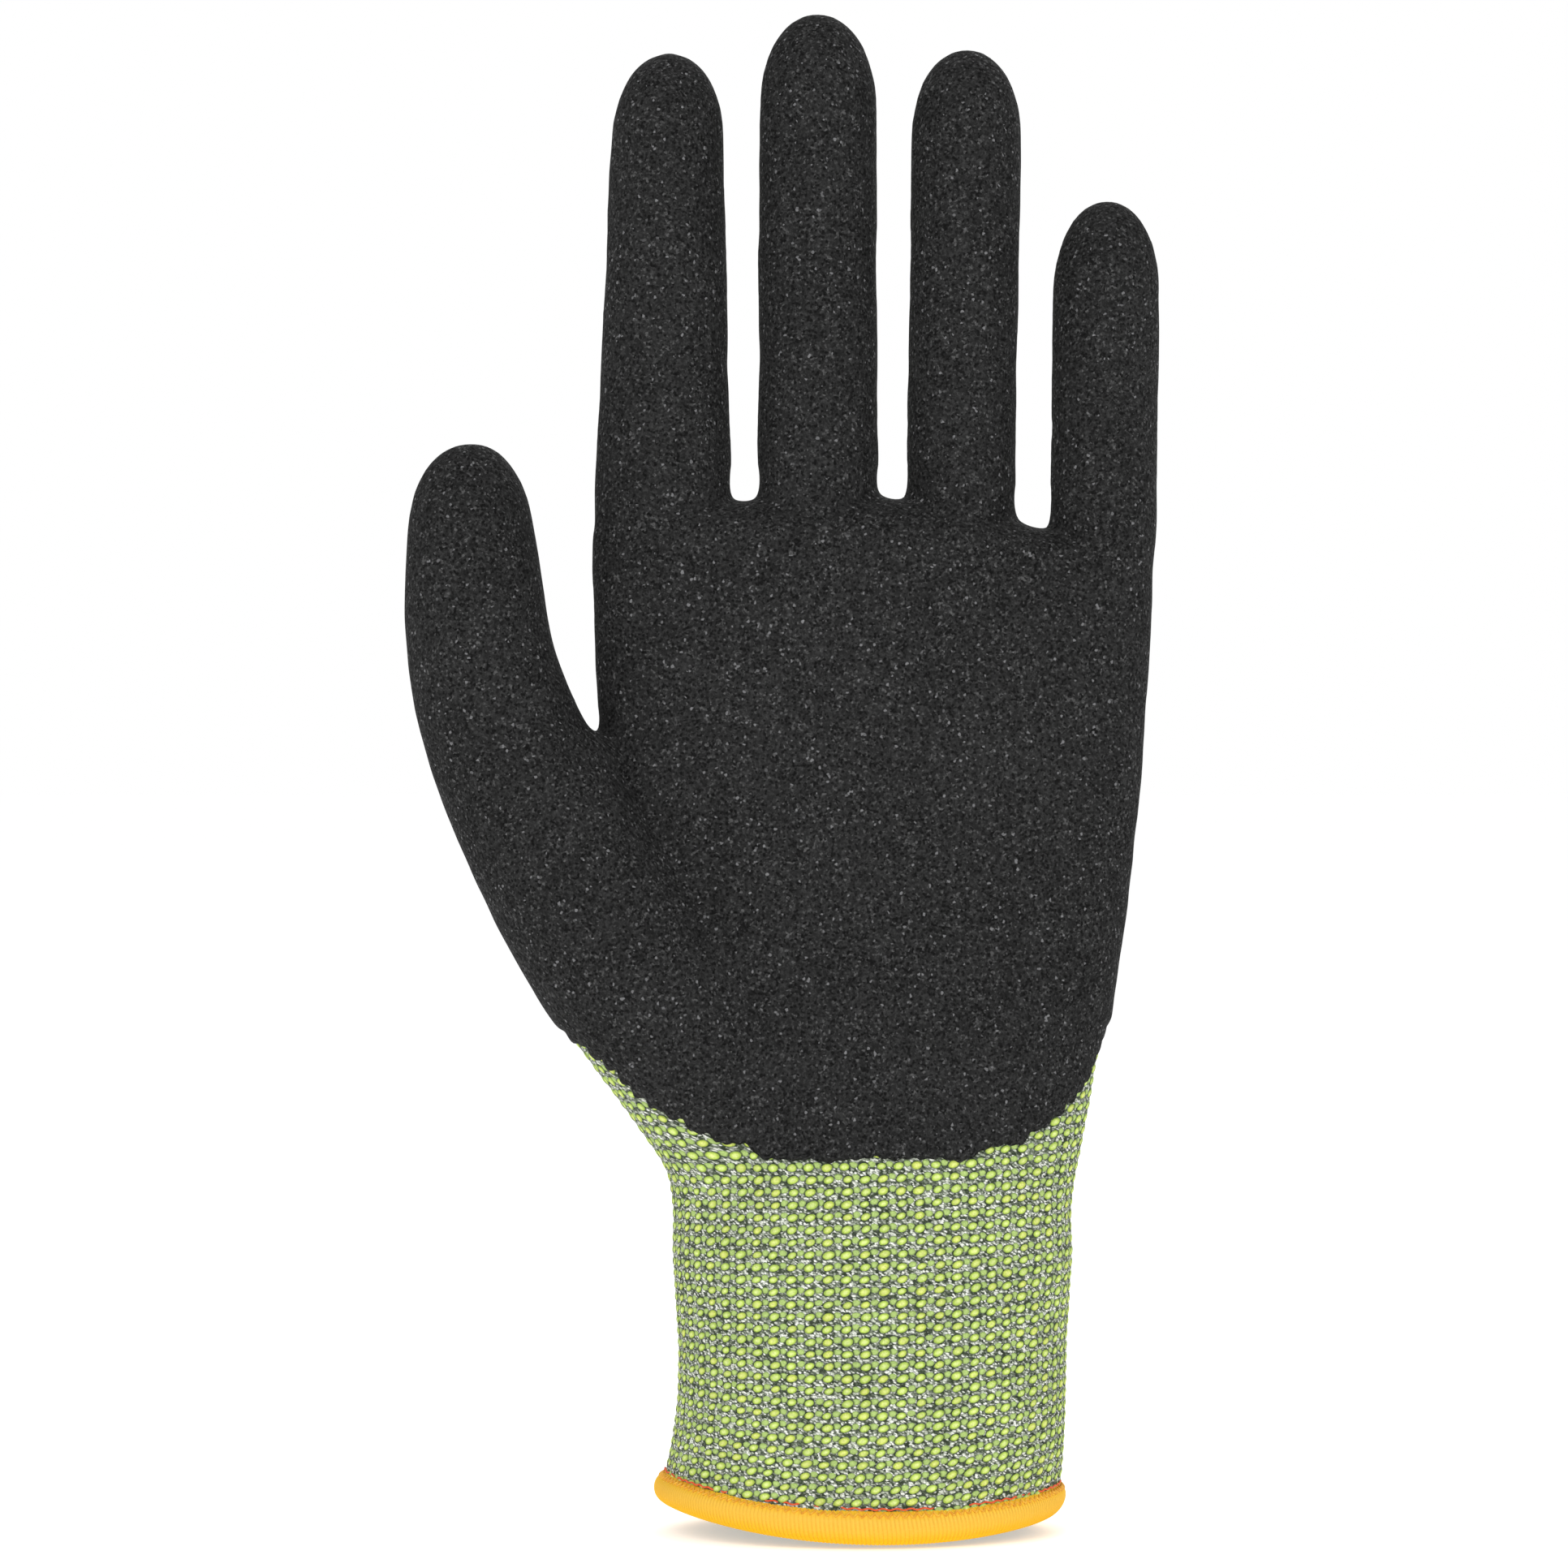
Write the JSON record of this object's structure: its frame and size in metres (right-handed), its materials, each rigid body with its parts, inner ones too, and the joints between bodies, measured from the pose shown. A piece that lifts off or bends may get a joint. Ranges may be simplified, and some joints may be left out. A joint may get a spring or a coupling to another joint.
{
  "type": "cut resistant work glove",
  "caption": "Left-hand knitted cut-resistant glove with a sandy black palm coating, bare knit cuff and overlocked hem; fingers, thumb and wrist bend.",
  "frame": {"origin": "middle of the cuff opening, level with the lowest point of the hem", "axes": "+Z from the cuff to the fingertips, -Y out of the palm, -X to the thumb side"},
  "size_m": [0.1238, 0.0498, 0.25],
  "materials": {
    "knit": "seamless knit of yellow-green yarn over grey melange yarn, matt",
    "coating": "sandy foam coating, matt with a fine grain",
    "hem_thread": "overlock thread in orange, soft sheen",
    "elastic_yarn": "covered elastic yarn, off-white"
  },
  "bodies": {
    "palm": {"palm_liner": "knit", "palm_coating": "coating"},
    "cuff": {"cuff_liner": "knit", "overlock_hem": "hem_thread", "wrist_elastic_yarn": "elastic_yarn"},
    "thumb_base": {"thumb_base_liner": "knit", "thumb_base_coating": "coating"},
    "thumb_tip": {"thumb_tip_liner": "knit", "thumb_tip_coating": "coating"},
    "index_base": {"index_base_liner": "knit", "index_base_coating": "coating"},
    "index_middle": {"index_middle_liner": "knit", "index_middle_coating": "coating"},
    "index_tip": {"index_tip_liner": "knit", "index_tip_coating": "coating"},
    "middle_base": {"middle_base_liner": "knit", "middle_base_coating": "coating"},
    "middle_middle": {"middle_middle_liner": "knit", "middle_middle_coating": "coating"},
    "middle_tip": {"middle_tip_liner": "knit", "middle_tip_coating": "coating"},
    "ring_base": {"ring_base_liner": "knit", "ring_base_coating": "coating"},
    "ring_middle": {"ring_middle_liner": "knit", "ring_middle_coating": "coating"},
    "ring_tip": {"ring_tip_liner": "knit", "ring_tip_coating": "coating"},
    "little_base": {"little_base_liner": "knit", "little_base_coating": "coating"},
    "little_middle": {"little_middle_liner": "knit", "little_middle_coating": "coating"},
    "little_tip": {"little_tip_liner": "knit", "little_tip_coating": "coating"}
  },
  "joints": [
    {"name": "wrist_bend", "type": "hinge", "parent": "palm", "child": "cuff", "pos_m": [0, 0, 0.041], "axis": [-1, 0, 0], "range_deg": [-45, 45], "stiffness_Nm_per_rad": 0.3},
    {"name": "thumb_fold", "type": "hinge", "parent": "palm", "child": "thumb_base", "pos_m": [-0.04505, -0.0045, 0.1015], "axis": [-0.0491, 0, 0.9988], "range_deg": [0, 35], "stiffness_Nm_per_rad": 0.05, "springref_deg": -5.73},
    {"name": "thumb_tip_bend", "type": "hinge", "parent": "thumb_base", "child": "thumb_tip", "pos_m": [-0.0654, -0.0069, 0.152], "axis": [1, 0, 0], "range_deg": [0, 60], "stiffness_Nm_per_rad": 0.02, "springref_deg": -5.73},
    {"name": "index_knuckle_bend", "type": "hinge", "parent": "palm", "child": "index_base", "pos_m": [-0.03459, 0, 0.171], "axis": [1, 0, 0], "range_deg": [0, 75], "stiffness_Nm_per_rad": 0.03, "springref_deg": -5.73},
    {"name": "index_middle_bend", "type": "hinge", "parent": "index_base", "child": "index_middle", "pos_m": [-0.03426, 0, 0.196], "axis": [1, 0, 0], "range_deg": [0, 90], "stiffness_Nm_per_rad": 0.02, "springref_deg": -5.73},
    {"name": "index_tip_bend", "type": "hinge", "parent": "index_middle", "child": "index_tip", "pos_m": [-0.03395, 0, 0.219], "axis": [1, 0, 0], "range_deg": [0, 45], "stiffness_Nm_per_rad": 0.01, "springref_deg": -5.73},
    {"name": "middle_knuckle_bend", "type": "hinge", "parent": "palm", "child": "middle_base", "pos_m": [-0.009, 0, 0.172], "axis": [1, 0, 0], "range_deg": [0, 75], "stiffness_Nm_per_rad": 0.03, "springref_deg": -5.73},
    {"name": "middle_middle_bend", "type": "hinge", "parent": "middle_base", "child": "middle_middle", "pos_m": [-0.009, 0, 0.199], "axis": [1, 0, 0], "range_deg": [0, 90], "stiffness_Nm_per_rad": 0.02, "springref_deg": -5.73},
    {"name": "middle_tip_bend", "type": "hinge", "parent": "middle_middle", "child": "middle_tip", "pos_m": [-0.009, 0, 0.224], "axis": [1, 0, 0], "range_deg": [0, 45], "stiffness_Nm_per_rad": 0.01, "springref_deg": -5.73},
    {"name": "ring_knuckle_bend", "type": "hinge", "parent": "palm", "child": "ring_base", "pos_m": [0.01464, 0, 0.171], "axis": [1, 0, 0], "range_deg": [0, 75], "stiffness_Nm_per_rad": 0.03, "springref_deg": -5.73},
    {"name": "ring_middle_bend", "type": "hinge", "parent": "ring_base", "child": "ring_middle", "pos_m": [0.01501, 0, 0.197], "axis": [1, 0, 0], "range_deg": [0, 90], "stiffness_Nm_per_rad": 0.02, "springref_deg": -5.73},
    {"name": "ring_tip_bend", "type": "hinge", "parent": "ring_middle", "child": "ring_tip", "pos_m": [0.01534, 0, 0.22], "axis": [1, 0, 0], "range_deg": [0, 45], "stiffness_Nm_per_rad": 0.01, "springref_deg": -5.73},
    {"name": "little_knuckle_bend", "type": "hinge", "parent": "palm", "child": "little_base", "pos_m": [0.03814, 0, 0.1675], "axis": [1, 0, 0], "range_deg": [0, 75], "stiffness_Nm_per_rad": 0.03, "springref_deg": -5.73},
    {"name": "little_middle_bend", "type": "hinge", "parent": "little_base", "child": "little_middle", "pos_m": [0.03836, 0, 0.186], "axis": [1, 0, 0], "range_deg": [0, 90], "stiffness_Nm_per_rad": 0.02, "springref_deg": -5.73},
    {"name": "little_tip_bend", "type": "hinge", "parent": "little_middle", "child": "little_tip", "pos_m": [0.03856, 0, 0.202], "axis": [1, 0, 0], "range_deg": [0, 45], "stiffness_Nm_per_rad": 0.01, "springref_deg": -5.73}
  ],
  "couplings": [
    {"joint": "index_tip_bend", "follows": "index_middle_bend", "ratio": 0.5},
    {"joint": "middle_tip_bend", "follows": "middle_middle_bend", "ratio": 0.5},
    {"joint": "ring_tip_bend", "follows": "ring_middle_bend", "ratio": 0.5},
    {"joint": "little_tip_bend", "follows": "little_middle_bend", "ratio": 0.5}
  ]
}
